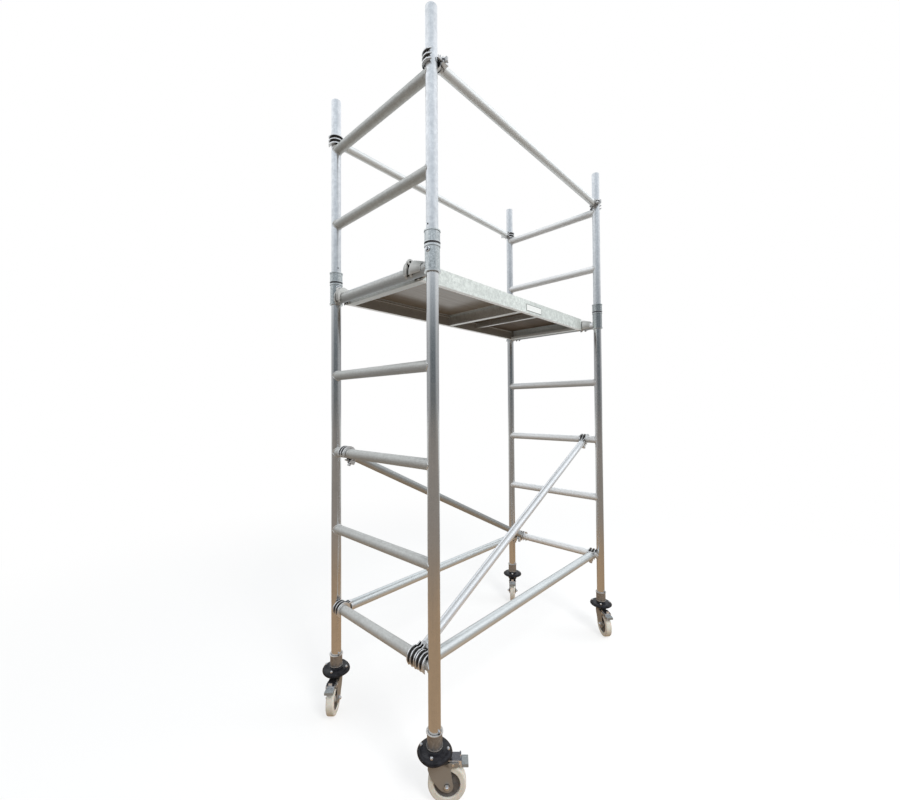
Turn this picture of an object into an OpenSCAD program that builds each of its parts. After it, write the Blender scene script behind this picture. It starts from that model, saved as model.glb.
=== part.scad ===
// Mobile tower scaffold on four braked castors, millimetres, Z up.
// The origin is on the floor under the middle of the four legs; X runs along the bay.

/* [Tower] */
// Distance between the two end frames, leg axis to leg axis
bay_len = 1610; // [1500:10:1800]
// Width of an end frame, leg axis to leg axis
frame_w = 730; // [700:5:780]
// Height of the lowest rung axis above the floor
rung1_z = 515; // [500:5:560]
// Distance from one rung axis to the next
rung_pitch = 400; // [380:5:420]
// Length of bare tube above the topmost rung axis
top_stub = 269; // [200:1:320]

/* [Tubes] */
// Outer diameter of the upright tubes
leg_d = 50; // [48:0.5:51]
// Outer diameter of the rungs
rung_d = 48; // [44:0.5:48]
// Wall of every round tube
wall = 2.5; // [2:0.1:3]
// Outer diameter of the horizontal braces
brace_d = 50; // [42:1:50]
// Outer diameter of the diagonal braces and the guard rails
rail_d = 42; // [38:1:44]

/* [Platform] */
// Width of the platform over its side beams
deck_w = 596; // [560:2:610]
// Offset of the platform towards the back of the tower
deck_shift = 32; // [20:1:36]
// Height of the side beams
beam_h = 75; // [70:1:80]
// Thickness of the plywood panels
ply = 12; // [9:1:13]
// Length of the hatch opening along the bay
hatch_len = 720; // [600:2:740]

/* [Castors] */
// Diameter of the castor wheels
wheel_d = 150; // [140:1:150]
// Width of the wheel tread
wheel_w = 38; // [34:1:38]
// Horizontal distance from swivel axis to axle
trail = 48; // [46:1:54]
// Diameter of the threaded stem
stem_d = 36; // [32:1:36]
// Diameter over the lobes of the adjusting handwheel
hand_d = 146; // [138:1:150]

/* [Hidden] */
$fn = 72;
e = 0.05;
leg_r = leg_d / 2;
rung_r = rung_d / 2;
brace_r = brace_d / 2;
rail_r = rail_d / 2;
lx = bay_len / 2;
ly = frame_w / 2;
cup_z = 212.5;
leg_z0 = cup_z + 9.5;
n_base = 5;
n_upper = 2;
rung5_z = rung1_z + 4 * rung_pitch;
rung7_z = rung1_z + 6 * rung_pitch;
joint_z = rung5_z + 88;
top_z = rung7_z + top_stub;
sleeve_r = leg_r + 6;
bead_r = leg_r + 9;
stem_r = stem_d / 2;
run = 0.08;

// Legs: a is front left, b back left, c front right, d back right.
KEYS = ["a", "b", "c", "d"];
function leg_xy(k) = [k < 2 ? -lx : lx, k % 2 == 0 ? -ly : ly];
// Direction each castor trails in, degrees from +X.
TRAIL = [-47, -137, -133, -146];
// Direction each joint button faces.
BUTTON = [180, 260, 0, 280];

// Braces: [y, z of middle, slope, hold radius, tube radius, tilt about X]
diag_slope = atan(2 * rung_pitch / bay_len);
h_y = ly - 52;
d_y = ly - 103;
guard_z = rung7_z + 48;
// The four rung-to-rung braces, then the two guard rails.
BRACES = [
    [-h_y, rung1_z, 0, rung_r, brace_r, 0],
    [h_y, rung1_z, 0, rung_r, brace_r, 0],
    [-d_y, rung1_z + rung_pitch, diag_slope, rung_r, rail_r, 0],
    [d_y, rung1_z + rung_pitch, -diag_slope, rung_r, rail_r, 0],
    [-ly, guard_z, 0, leg_r, rail_r, -90],
    [ly, guard_z, 0, leg_r, rail_r, 90]
];
claw_w = 46;
neck = 34;

// Platform
beam_t = 24;
beam_wall = 2.5;
beam_z0 = rung5_z - 23;
beam_z1 = beam_z0 + beam_h;
front_y = deck_shift - deck_w / 2;
back_y = deck_shift + deck_w / 2;
beam_x = lx - 38;
deck_top = beam_z1 - 2;
ledge_z = deck_top - ply - 0.3;
ledge_t = 6;
ledge_w = 12;
end_x = lx - 58;
hatch_x0 = -lx + 83;
hatch_x1 = hatch_x0 + hatch_len;
hatch_y0 = front_y + beam_t + 2;
hatch_y1 = back_y - beam_t - 2;
hinge_y = back_y - beam_t - 1;
hinge_z = beam_z1 + 5;
latch_x = (hatch_x0 + hatch_x1) / 2;
latch_y = hatch_y0 + 25;

// Castor heights
wheel_r = wheel_d / 2;
crown_z = wheel_d + 4;
cup_top = crown_z + 15.6;
flange_z = cup_top + 0.4;
hand_z = 180;
hand_h = cup_z - 1 - hand_z;
fork_in = wheel_w / 2 + 3;
fork_t = 3.5;
pivot = [trail + 24, crown_z + 4];

// Which node to draw

// ---------- helpers ----------
module tube(r, h, w = wall) {
    difference() {
        cylinder(r = r, h = h);
        translate([0, 0, -1]) cylinder(r = r - w, h = h + 2);
    }
}

module ring(r_out, r_in, h) {
    difference() {
        cylinder(r = r_out, h = h);
        translate([0, 0, -1]) cylinder(r = r_in, h = h + 2);
    }
}

module box(p, q) {
    translate(p) cube([q[0] - p[0], q[1] - p[1], q[2] - p[2]]);
}

module at_legs(z = 0) {
    for (k = [0:3]) translate([leg_xy(k)[0], leg_xy(k)[1], z]) children();
}

module at_leg(k, z = 0) {
    translate([leg_xy(k)[0], leg_xy(k)[1], z]) children();
}

// Frame of brace i: X along it, its claws open towards -Z.
module at_brace(i) {
    b = BRACES[i];
    translate([0, b[0], b[1]]) rotate([0, -b[2], 0]) rotate([b[5], 0, 0]) children();
}

function half_len(i) = lx / cos(BRACES[i][2]);

// End s of brace i: origin on the held tube's axis, X pointing outwards.
module at_end(i, s) {
    at_brace(i) translate([s * half_len(i), 0, 0])
        rotate([0, 0, s > 0 ? 0 : 180]) children();
}

// ---------- end frames ----------
module base_legs() {
    color("silver") at_legs(leg_z0) tube(leg_r, joint_z - leg_z0);
}

module rung(z, cut_r) {
    for (s = [-1, 1])
        difference() {
            translate([s * lx, ly, z]) rotate([90, 0, 0]) tube(rung_r, frame_w);
            for (t = [-1, 1])
                translate([s * lx, t * ly, z - 60]) cylinder(r = cut_r, h = 120);
        }
}

module base_rungs() {
    color("lightgray") {
        for (i = [0:n_base - 2]) rung(rung1_z + i * rung_pitch, leg_r);
        difference() {
            rung(rung5_z, sleeve_r);
            at_legs(rung5_z - 40) cylinder(r = bead_r + e, h = 22 + e);
        }
    }
}

module upper_rungs() {
    color("lightgray")
        for (i = [n_base:n_base + n_upper - 1]) rung(rung1_z + i * rung_pitch, leg_r);
}

// A socket below the joint and a collar above it, with rolled beads.
module joint_sleeves() {
    socket_z = rung5_z - 25;
    socket_h = joint_z - 2 - socket_z;
    collar_z = joint_z + 6;
    color("gainsboro") {
        at_legs(socket_z) {
            difference() {
                union() {
                    cylinder(r = sleeve_r, h = socket_h);
                    cylinder(r = bead_r, h = 7);
                    translate([0, 0, socket_h - 9]) cylinder(r = bead_r - 1, h = 9);
                }
                translate([0, 0, -1]) cylinder(r = leg_r + e, h = socket_h + 2);
            }
        }
        at_legs(collar_z) {
            difference() {
                union() {
                    cylinder(r = sleeve_r + 1, h = 51);
                    cylinder(r = bead_r - 0.5, h = 5);
                    translate([0, 0, 45]) cylinder(r = bead_r, h = 6);
                }
                translate([0, 0, -1]) cylinder(r = leg_r + e, h = 53);
            }
        }
    }
}

// Uprights of the guard frame: a cross-drilled pin hole, a reamed mouth, a rolled stop.
mouth_r = leg_r - wall + 0.2;
mouth_l = 200;
stop_r = leg_r - wall - 3;
module upper_legs() {
    color("silver")
        for (k = [0:3]) at_leg(k, joint_z)
            difference() {
                cylinder(r = leg_r, h = top_z - joint_z);
                translate([0, 0, -1])
                    cylinder(r = leg_r - wall, h = top_z - joint_z - mouth_l - 3);
                translate([0, 0, -1]) cylinder(r = stop_r, h = top_z - joint_z + 2);
                translate([0, 0, top_z - joint_z - mouth_l])
                    cylinder(r = mouth_r, h = mouth_l + 1);
                rotate([0, 90, BUTTON[k]])
                    translate([-79, 0, 0]) cylinder(r = 4, h = leg_r + 5);
            }
}

module spigots() {
    color("darkgray") at_legs(joint_z - 95) tube(leg_r - wall - 0.1, 170, 3);
}

// Sprung buttons through the sockets and pins through the feet.
module lock_buttons() {
    color("white") {
        for (k = [0:3]) at_leg(k, joint_z - 25) difference() {
            rotate([0, 90, BUTTON[k]]) translate([0, 0, sleeve_r - 2]) {
                cylinder(r = 6.5, h = 3.5);
                cylinder(r = 4.5, h = 6.5);
            }
            translate([0, 0, -20]) cylinder(r = sleeve_r, h = 40);
        }
        at_legs(cup_z + 66) difference() {
            rotate([0, 90, -90]) translate([0, 0, leg_r - 2]) {
                cylinder(r = 6, h = 3.7);
                cylinder(r = 4, h = 8.7);
            }
            translate([0, 0, -20]) cylinder(r = leg_r, h = 40);
        }
    }
}

module foot_cups() {
    cup_r = leg_r + 5.5;
    color("gainsboro") at_legs(cup_z)
        difference() {
            union() {
                cylinder(r = cup_r, h = 58);
                cylinder(r = cup_r + 2, h = 5);
                translate([0, 0, 52]) cylinder(r1 = cup_r, r2 = cup_r + 3.5, h = 3);
                translate([0, 0, 55]) cylinder(r = cup_r + 3.5, h = 3);
            }
            translate([0, 0, leg_z0 - cup_z]) cylinder(r = leg_r + e, h = 80);
            translate([0, 0, -1]) cylinder(r = stem_r + 1, h = 20);
        }
}

// ---------- braces ----------
module brace_tube(i) {
    b = BRACES[i];
    from_end = b[3] + neck;
    at_brace(i) translate([-half_len(i) + from_end, 0, 0]) rotate([0, 90, 0])
        tube(b[4], 2 * (half_len(i) - from_end));
}

module horizontal_braces() {
    color("white") for (i = [0, 1]) brace_tube(i);
}

module diagonal_braces() {
    color("white") for (i = [2, 3]) brace_tube(i);
}

module guard_rails() {
    color("white") for (i = [4, 5]) brace_tube(i);
}

module saddle_2d(r, drop) {
    circle(r = r);
    translate([-r, -drop]) square([2 * r, drop]);
}

// Cast claw: ribbed saddle over the held tube, neck, plug and trigger housing.
module claw(hold, tr) {
    rib_y = [-20.5, 0, 20.5];
    band = hold + 4.5;
    rib = hold + 14;
    deep = hold + 16;
    difference() {
        union() {
            rotate([90, 0, 0]) translate([0, 0, -claw_w / 2])
                linear_extrude(claw_w) saddle_2d(band, 15);
            for (y = rib_y) translate([0, y, 0]) rotate([90, 0, 0])
                translate([0, 0, -2.5]) linear_extrude(5) saddle_2d(rib, 14);
            box([-hold - 22, -19, -17], [-hold - 2, 19, 16]);
            for (y = rib_y * 0.8)
                box([-hold - 26, y - 2.6, -19], [-hold - 4, y + 2.6, 24]);
            translate([-hold - neck, 0, 0]) rotate([0, 90, 0])
                cylinder(r = tr + 1.5, h = 14);
            translate([-hold - 74, 0, 0]) rotate([0, 90, 0])
                cylinder(r = tr - wall - e, h = 50);
            box([-hold - neck, -12, -deep], [-hold - 3, 12, -12]);
        }
        rotate([90, 0, 0]) translate([0, 0, -claw_w])
            linear_extrude(2 * claw_w) {
                circle(r = hold + e);
                translate([-hold - e, -hold - 30]) square([2 * (hold + e), hold + 30]);
            }
        box([-hold - neck - 1, -6.6, -hold - 12], [-hold + 1, 6.6, -hold - 3.4]);
        box([-hold - neck - 1, -3.6, -deep - 1], [-hold + 1, 3.6, -hold - 8]);
    }
}

module brace_claws() {
    color("silver") for (i = [0:3]) for (s = [-1, 1])
        at_end(i, s) claw(BRACES[i][3], BRACES[i][4]);
}

module guard_claws() {
    color("silver") for (i = [4, 5]) for (s = [-1, 1])
        at_end(i, s) claw(BRACES[i][3], BRACES[i][4]);
}

// Sprung trigger bar that closes the claw under the held tube.
module trigger(i, s) {
    hold = BRACES[i][3];
    color("dimgray") at_end(i, s) {
        difference() {
            box([-hold - 30, -6, -hold - 11], [-2, 6, -hold - 4]);
            translate([-2, -7, -hold - 11]) rotate([0, -45, 0]) cube([12, 14, 12]);
        }
        box([-hold - 17, -3, -hold - 20], [-hold - 9, 3, -hold - 9]);
        box([-hold - 17, -9, -hold - 29], [-hold - 9, 9, -hold - 17.5]);
    }
}

// ---------- platform ----------
module platform_beams() {
    color("gainsboro") for (s = [-1, 1]) {
        outer = s < 0 ? front_y : back_y;
        difference() {
            union() {
                box([-beam_x, min(outer, outer - s * beam_t), beam_z0],
                    [beam_x, max(outer, outer - s * beam_t), beam_z1]);
                box([-end_x + 22, min(outer - s * (beam_t - 1), outer - s * (beam_t + ledge_w)),
                     ledge_z - ledge_t],
                    [end_x - 22, max(outer - s * (beam_t - 1), outer - s * (beam_t + ledge_w)),
                     ledge_z]);
            }
            box([-beam_x - 1, min(outer - s * beam_wall, outer - s * (beam_t - beam_wall)),
                 beam_z0 + beam_wall],
                [beam_x + 1, max(outer - s * beam_wall, outer - s * (beam_t - beam_wall)),
                 beam_z1 - beam_wall]);
        }
    }
}

module platform_ends() {
    y0 = front_y + beam_t;
    dy = back_y - beam_t - y0;
    color("gainsboro") for (s = [0, 180]) rotate([0, 0, s])
        translate([end_x, s == 0 ? y0 : -y0 - dy, 0]) {
            box([16, 0, beam_z0], [20, dy, deck_top - 4]);
            box([-20, 0, beam_z0], [19, dy, beam_z0 + 4]);
            box([-20, 0, beam_z0 + 3], [-16, dy, beam_z0 + 17]);
            box([-21, 0, deck_top - 5], [21, dy, deck_top]);
        }
}

module platform_cross_members() {
    y0 = front_y + beam_t;
    y1 = back_y - beam_t;
    mid = hatch_x1 + 5;
    far = end_x - 21;
    color("gainsboro") {
        difference() {
            box([mid, y0, beam_z0 + 2], [mid + 36, y1, deck_top]);
            box([mid + 3, y0 - 1, beam_z0 + 5], [mid + 33, y1 + 1, deck_top - 3]);
            for (y = [y0 - 1, y1 - ledge_w])
                box([mid - 1, y, ledge_z - ledge_t], [mid + 37, y + ledge_w + 1, ledge_z]);
        }
        {
            x = mid + 36 + 0.38 * (far - mid - 36);
            difference() {
                box([x - 12, y0, ledge_z - 34], [x + 12, y1, ledge_z]);
                box([x - 10, y0 - 1, ledge_z - 32], [x + 10, y1 + 1, ledge_z - 2]);
                for (y = [y0 - 1, y1 - ledge_w])
                    box([x - 13, y, ledge_z - ledge_t], [x + 13, y + ledge_w + 1, ledge_z + 1]);
            }
        }
    }
}

module deck_panel() {
    color("peru") box([hatch_x1 + 41, front_y + beam_t, ledge_z],
        [end_x - 21, back_y - beam_t, deck_top]);
}

// Cast hooks that carry the platform on the two fifth rungs.
module hook(dy, w) {
    difference() {
        union() {
            translate([0, dy, 0]) {
                rotate([90, 0, 0]) translate([0, 0, 1 - w]) linear_extrude(2 * w - 2)
                    saddle_2d(rung_r + 7, 14);
                for (y = [6.5 - w, w - 6.5]) translate([0, y, 0]) rotate([90, 0, 0])
                    translate([0, 0, -6.5]) linear_extrude(13) saddle_2d(rung_r + 13, 17);
                box([-37, -w, -20.4], [-22, w, 30]);
                translate([-8, -w - 1, 34]) rotate([-90, 0, 0])
                    cylinder(r = 11, h = 2 * w + 2);
            }
            box([-96, -beam_t / 2 + beam_wall + e, -20.4],
                [-30, beam_t / 2 - beam_wall - e, beam_h - 25.6]);
        }
        rotate([90, 0, 0]) translate([0, 0, -60]) linear_extrude(120) {
            circle(r = rung_r + e);
            translate([-rung_r - e, -60]) square([2 * (rung_r + e), 60]);
        }
        translate([-8, -60, 34]) rotate([-90, 0, 0]) cylinder(r = 4, h = 120);
    }
}

module platform_hooks() {
    color("silver")
        for (s = [-1, 1]) {
            translate([s * lx, front_y + beam_t / 2, rung5_z])
                rotate([0, 0, s > 0 ? 0 : 180]) hook(2 * s, 22);
            translate([s * lx, back_y - beam_t / 2, rung5_z])
                rotate([0, 0, s > 0 ? 0 : 180]) hook(-10 * s, 20);
        }
}

module label_plate() {
    color("white") box([lx - 755, front_y - 1.2, beam_z0 + 13],
        [lx - 590, front_y, beam_z0 + 52]);
}

// ---------- hatch ----------
hinge_n = 3;
knuckle = 60;
function hinge_x(j) = hatch_x0 + hatch_len * (j + 0.5) / hinge_n;

module hatch_hinge() {
    color("silver") for (j = [0:hinge_n - 1]) {
        difference() {
            union() {
                box([hinge_x(j) - knuckle / 2, hinge_y, beam_z1],
                    [hinge_x(j) + knuckle / 2, hinge_y + 20, beam_z1 + 3]);
                for (s = [-1, 1]) translate([hinge_x(j) + s * 20 - 10, hinge_y, hinge_z])
                    rotate([0, 90, 0]) cylinder(r = 4.6, h = 20);
            }
            box([hinge_x(j) - 10.5, hinge_y - 9, beam_z1 - 4],
                [hinge_x(j) + 10.5, hinge_y + 6, beam_z1 + 12]);
        }
        translate([hinge_x(j) - 29, hinge_y, hinge_z]) rotate([0, 90, 0])
            cylinder(r = 2.2, h = 58);
    }
}

module hatch_frame() {
    side = 26;
    front = 50;
    color("gainsboro") difference() {
        union() {
            difference() {
                box([hatch_x0, hatch_y0, ledge_z + 0.3], [hatch_x1, hatch_y1, deck_top]);
                box([hatch_x0 + side, hatch_y0 + front, ledge_z - 1],
                    [hatch_x1 - side, hatch_y1 - side, deck_top + 1]);
            }
            for (j = [0:hinge_n - 1]) {
                box([hinge_x(j) - 10, hinge_y - 24, deck_top - e],
                    [hinge_x(j) + 10, hinge_y - 1, beam_z1 + 3]);
                translate([hinge_x(j) - 10, hinge_y, hinge_z]) rotate([0, 90, 0])
                    cylinder(r = 4.6, h = 20);
            }
        }
        for (j = [0:hinge_n - 1]) translate([hinge_x(j) - 11, hinge_y, hinge_z])
            rotate([0, 90, 0]) cylinder(r = 2.2 + run, h = 22);
        translate([latch_x, latch_y, ledge_z - 5]) cylinder(r = 6 + run, h = 40);
    }
}

module hatch_panel() {
    color("peru") box([hatch_x0 + 26 + e, hatch_y0 + 50 + e, ledge_z + 1.3],
        [hatch_x1 - 26 - e, hatch_y1 - 26 - e, deck_top - 0.5]);
}

// Turn latch: knob on top; a quarter turn swings its tongue under the front ledge.
module hatch_latch() {
    translate([latch_x, latch_y, 0]) color("dimgray") {
        translate([0, 0, ledge_z - 14]) cylinder(r = 6, h = deck_top - ledge_z + 20);
        translate([0, 0, deck_top + 0.5]) cylinder(r = 13, h = 5);
        box([-22, -4, deck_top + 1], [22, 4, deck_top + 12]);
        box([-10, -9, ledge_z - 14], [20, 9, ledge_z - ledge_t - 2]);
    }
}

// ---------- castors ----------
module at_castor(k) {
    at_leg(k) rotate([0, 0, TRAIL[k]]) children();
}

// Threaded stem with bearing flange and kingpin.
module stem() {
    color("darkgray") {
        difference() {
            union() {
                translate([0, 0, flange_z]) cylinder(r = 31, h = 6);
                translate([0, 0, flange_z + 5]) cylinder(r = stem_r, h = 330);
                translate([0, 0, crown_z - 1]) cylinder(r = 8, h = 20);
                translate([0, 0, crown_z - 7]) cylinder(r = 12, h = 6.6, $fn = 6);
            }
            translate([0, 0, flange_z + 40]) cylinder(r = stem_r - 5, h = 330);
        }
    }
}

module handwheel() {
    lobe = 22;
    color("black") difference() {
        union() {
            translate([0, 0, hand_z]) cylinder(r = 28, h = hand_h);
            translate([0, 0, hand_z + 3]) cylinder(r = hand_d / 2 - 7, h = 14);
            translate([0, 0, hand_z + 17])
                cylinder(r1 = hand_d / 2 - 12, r2 = 30, h = 6);
            for (a = [45:90:315]) rotate([0, 0, a])
                translate([hand_d / 2 - lobe, 0, hand_z]) {
                    cylinder(r1 = lobe - 3, r2 = lobe, h = 4);
                    translate([0, 0, 4]) cylinder(r = lobe, h = 13);
                    translate([0, 0, 17]) cylinder(r1 = lobe, r2 = lobe - 5, h = 5);
                    translate([0, 0, 22]) cylinder(r1 = lobe - 5, r2 = lobe - 13, h = 3);
                }
        }
        translate([0, 0, hand_z - 1]) cylinder(r = stem_r + run, h = hand_h + 2);
    }
}

module fork() {
    ear = pivot[0] + 23;
    color("rosybrown") difference() {
        union() {
            translate([0, 0, crown_z + 3]) cylinder(r = 32, h = 12.6);
            translate([0, 0, crown_z]) {
                linear_extrude(4) {
                    circle(r = fork_in + fork_t + 7);
                    translate([0, -fork_in - fork_t])
                        square([trail + 8, 2 * (fork_in + fork_t)]);
                }
            }
            for (s = [-1, 1]) translate([0, s * (fork_in + fork_t / 2), 0])
                rotate([90, 0, 0]) translate([0, 0, -fork_t / 2])
                    linear_extrude(fork_t) {
                        translate([trail, wheel_r]) circle(r = 24);
                        polygon([[-26, crown_z + 4], [-27, crown_z - 14],
                            [-22, crown_z - 32], [-10, crown_z - 56],
                            [trail - 34, wheel_r - 6], [trail - 22, wheel_r - 17],
                            [trail - 9, wheel_r - 22.2], [trail + 12, wheel_r - 20.7],
                            [trail + 23, wheel_r - 6], [trail + 22, wheel_r + 12],
                            [trail + 15, crown_z - 18],
                            [trail + 21, crown_z - 9], [ear - 4, crown_z - 7],
                            [ear, crown_z - 3], [ear, crown_z + 6],
                            [ear - 4, crown_z + 10], [trail + 12, crown_z + 10],
                            [trail - 2, crown_z + 4]]);
                    }
        }
        translate([0, 0, crown_z - 2]) cylinder(r = 8 + run, h = 30);
        translate([trail, 60, wheel_r]) rotate([90, 0, 0]) cylinder(r = 6 + e, h = 120);
        translate([pivot[0], 60, pivot[1]]) rotate([90, 0, 0])
            cylinder(r = 3 + e, h = 120);
    }
}

// Axle bolt with nut, and the pedal's pivot pin.
module axle() {
    out = fork_in + fork_t;
    color("lightgray") {
        translate([trail, 0, wheel_r]) rotate([90, 0, 0]) {
            translate([0, 0, -out - 9]) cylinder(r = 6, h = 2 * out + 17);
            translate([0, 0, out]) cylinder(r = 11, h = 7, $fn = 6);
            translate([0, 0, -out - 7]) cylinder(r = 11, h = 7, $fn = 6);
        }
        translate([pivot[0], 0, pivot[1]]) rotate([90, 0, 0]) {
            translate([0, 0, -out - 2]) cylinder(r = 3, h = 2 * out + 4);
            translate([0, 0, out]) cylinder(r = 5, h = 2.5);
            translate([0, 0, -out - 2.5]) cylinder(r = 5, h = 2.5);
        }
    }
}

module wheel() {
    hub = fork_in - 0.4;
    tw = wheel_w / 2;
    color("ivory") translate([trail, 0, wheel_r]) rotate([90, 0, 0])
        rotate_extrude() polygon([[6 + run, -hub], [18, -hub], [19, -11],
            [50, -10], [52, -tw + 1], [54, -tw], [wheel_r - 6, -tw],
            [wheel_r - 2, -tw + 2], [wheel_r, -tw + 6], [wheel_r, tw - 6],
            [wheel_r - 2, tw - 2], [wheel_r - 6, tw], [54, tw], [52, tw - 1],
            [50, 10], [19, 11], [18, hub], [6 + run, hub]]);
}

// Brake pedal: hub with cam nose, lever and foot plate.
module pedal() {
    half = fork_in - 1.5;
    color("lightsteelblue") translate([pivot[0], 0, pivot[1]]) difference() {
        union() {
            rotate([90, 0, 0]) translate([0, 0, -half]) {
                cylinder(r = 6, h = 2 * half);
                translate([0, 0, half - 15]) linear_extrude(30)
                    polygon([[0, -5], [4, -10.4], [8, -10.0], [14, -3], [20, -1],
                        [20, 9], [-6, 9]]);
            }
            box([-20, -half, 8], [33, half, 11.5]);
            for (s = [-1, 1])
                box([-5, min(s * half, s * (half - 3)), -5],
                    [33, max(s * half, s * (half - 3)), 9]);
            box([30, -half, -13], [33, half, 11.5]);
            box([27, -9, 9], [32, 9, 25]);
            box([32, -half, -13], [59, half, -1]);
        }
        rotate([90, 0, 0]) translate([0, 0, -60]) cylinder(r = 3 + run, h = 120);
    }
}

// ---------- which to draw ----------
base_legs();
base_rungs();
joint_sleeves();
upper_legs();
upper_rungs();
spigots();
lock_buttons();
foot_cups();
guard_rails();
horizontal_braces();
diagonal_braces();
brace_claws();
guard_claws();
platform_beams();
platform_ends();
platform_cross_members();
deck_panel();
platform_hooks();
hatch_hinge();
label_plate();
hatch_frame();
hatch_panel();
hatch_latch();
for (i = [0:5]) trigger(i, -1);
for (i = [0:5]) trigger(i, 1);
for (k = [0:3]) at_castor(k) stem();
for (k = [0:3]) at_castor(k) handwheel();
for (k = [0:3]) at_castor(k) fork();
for (k = [0:3]) at_castor(k) axle();
for (k = [0:3]) at_castor(k) wheel();
for (k = [0:3]) at_castor(k) pedal();
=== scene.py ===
import math
import bpy
import bmesh
from mathutils import Matrix, Vector


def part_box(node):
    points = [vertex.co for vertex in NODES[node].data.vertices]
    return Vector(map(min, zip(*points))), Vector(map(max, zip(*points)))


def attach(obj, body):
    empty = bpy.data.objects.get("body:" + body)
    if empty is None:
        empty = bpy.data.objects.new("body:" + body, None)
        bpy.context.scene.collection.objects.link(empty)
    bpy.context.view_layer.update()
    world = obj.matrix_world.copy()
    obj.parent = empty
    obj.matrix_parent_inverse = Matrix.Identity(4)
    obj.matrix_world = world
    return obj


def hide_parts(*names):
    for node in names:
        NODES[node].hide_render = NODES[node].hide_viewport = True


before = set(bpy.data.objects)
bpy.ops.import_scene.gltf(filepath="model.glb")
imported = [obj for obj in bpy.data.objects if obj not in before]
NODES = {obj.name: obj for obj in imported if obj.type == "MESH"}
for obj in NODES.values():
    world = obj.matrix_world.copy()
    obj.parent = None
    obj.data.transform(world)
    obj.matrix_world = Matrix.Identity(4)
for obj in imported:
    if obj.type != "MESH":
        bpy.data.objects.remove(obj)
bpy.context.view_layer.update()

scene = bpy.context.scene

# ---------------------------------------------------------------- sizes, metres
# Legs and castors: a is front left, b back left, c front right, d back right.
KEYS = "abcd"
LEG_R = 0.025
RUNG_R = 0.024
WHEEL_R = 0.075
# How far a wheel's axle is from its stem.
TRAIL = 0.048
# The leg axes stand at -LX or LX, and at -LY or LY.
lo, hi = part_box("upper_legs")
LX = (hi[0] - lo[0]) / 2 - LEG_R
LY = (hi[1] - lo[1]) / 2 - LEG_R
lo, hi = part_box("base_rungs")
RUNG1_Z = lo[2] + RUNG_R
PITCH = (hi[2] - lo[2] - 2 * RUNG_R) / 4
RUNG5_Z = RUNG1_Z + 4 * PITCH
# The line where the guard frames stand on the base frames.
JOINT_Z = RUNG5_Z + 0.088
# Leg axis of each castor and the way it trails, in degrees from +X.
CASTOR = {"a": (-LX, -LY, -47), "b": (-LX, LY, -137), "c": (LX, -LY, -133), "d": (LX, LY, -146)}
# Turn of each handwheel's lobes, in degrees.
NUT_TURN = {"a": -10, "b": -9, "c": -25, "d": 0}


# ---------------------------------------------------------------- node helpers
class Nodes:
    """A node tree under construction."""

    def __init__(self, tree):
        self.tree = tree

    def node(self, kind, **props):
        node = self.tree.nodes.new(kind)
        for k, v in props.items():
            setattr(node, k, v)
        return node

    def link(self, a, b):
        self.tree.links.new(a, b)

    def put(self, socket, value):
        if hasattr(value, "is_linked"):
            self.link(value, socket)
        else:
            socket.default_value = value

    def map(self, v, a, b, c, d, smooth=False):
        """The value v taken from the range a to b into the range c to d, and held there."""
        x = self.node("ShaderNodeMapRange")
        if smooth:
            x.interpolation_type = "SMOOTHSTEP"
        self.put(x.inputs["Value"], v)
        for i, k in ((1, a), (2, b), (3, c), (4, d)):
            x.inputs[i].default_value = k
        return x.outputs["Result"]

    def math(self, op, a, b=0.0, clamp=False):
        x = self.node("ShaderNodeMath", operation=op)
        x.use_clamp = clamp
        self.put(x.inputs[0], a)
        self.put(x.inputs[1], b)
        return x.outputs[0]

    def mix(self, fac, a, b, blend="MIX"):
        x = self.node("ShaderNodeMix", data_type="RGBA", blend_type=blend)
        for socket, v in ((x.inputs[0], fac), (x.inputs[6], a), (x.inputs[7], b)):
            if hasattr(v, "is_linked"):
                self.link(v, socket)
            elif hasattr(v, "__len__"):
                socket.default_value = (*v, 1.0)[:4]
            else:
                socket.default_value = v
        return x.outputs[2]

    def xyz(self, vector):
        """The X, Y and Z outputs of a vector."""
        x = self.node("ShaderNodeSeparateXYZ")
        self.link(vector, x.inputs[0])
        return x.outputs

    def dot(self, vector, way):
        """How far a vector reaches along a fixed direction."""
        x = self.node("ShaderNodeVectorMath", operation="DOT_PRODUCT")
        self.link(vector, x.inputs[0])
        x.inputs[1].default_value = way
        return x.outputs["Value"]

    def ramp(self, value, stops):
        x = self.node("ShaderNodeValToRGB")
        x.color_ramp.interpolation = "EASE"
        while len(x.color_ramp.elements) < len(stops):
            x.color_ramp.elements.new(0.5)
        for element, (pos, color) in zip(x.color_ramp.elements, stops):
            element.position = pos
            element.color = (*color, 1.0)
        self.link(value, x.inputs[0])
        return x.outputs[0]

    def shader_mix(self, fac, a, b):
        x = self.node("ShaderNodeMixShader")
        for socket, v in zip(x.inputs, (fac, a, b)):
            self.link(v, socket)
        return x.outputs[0]


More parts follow.
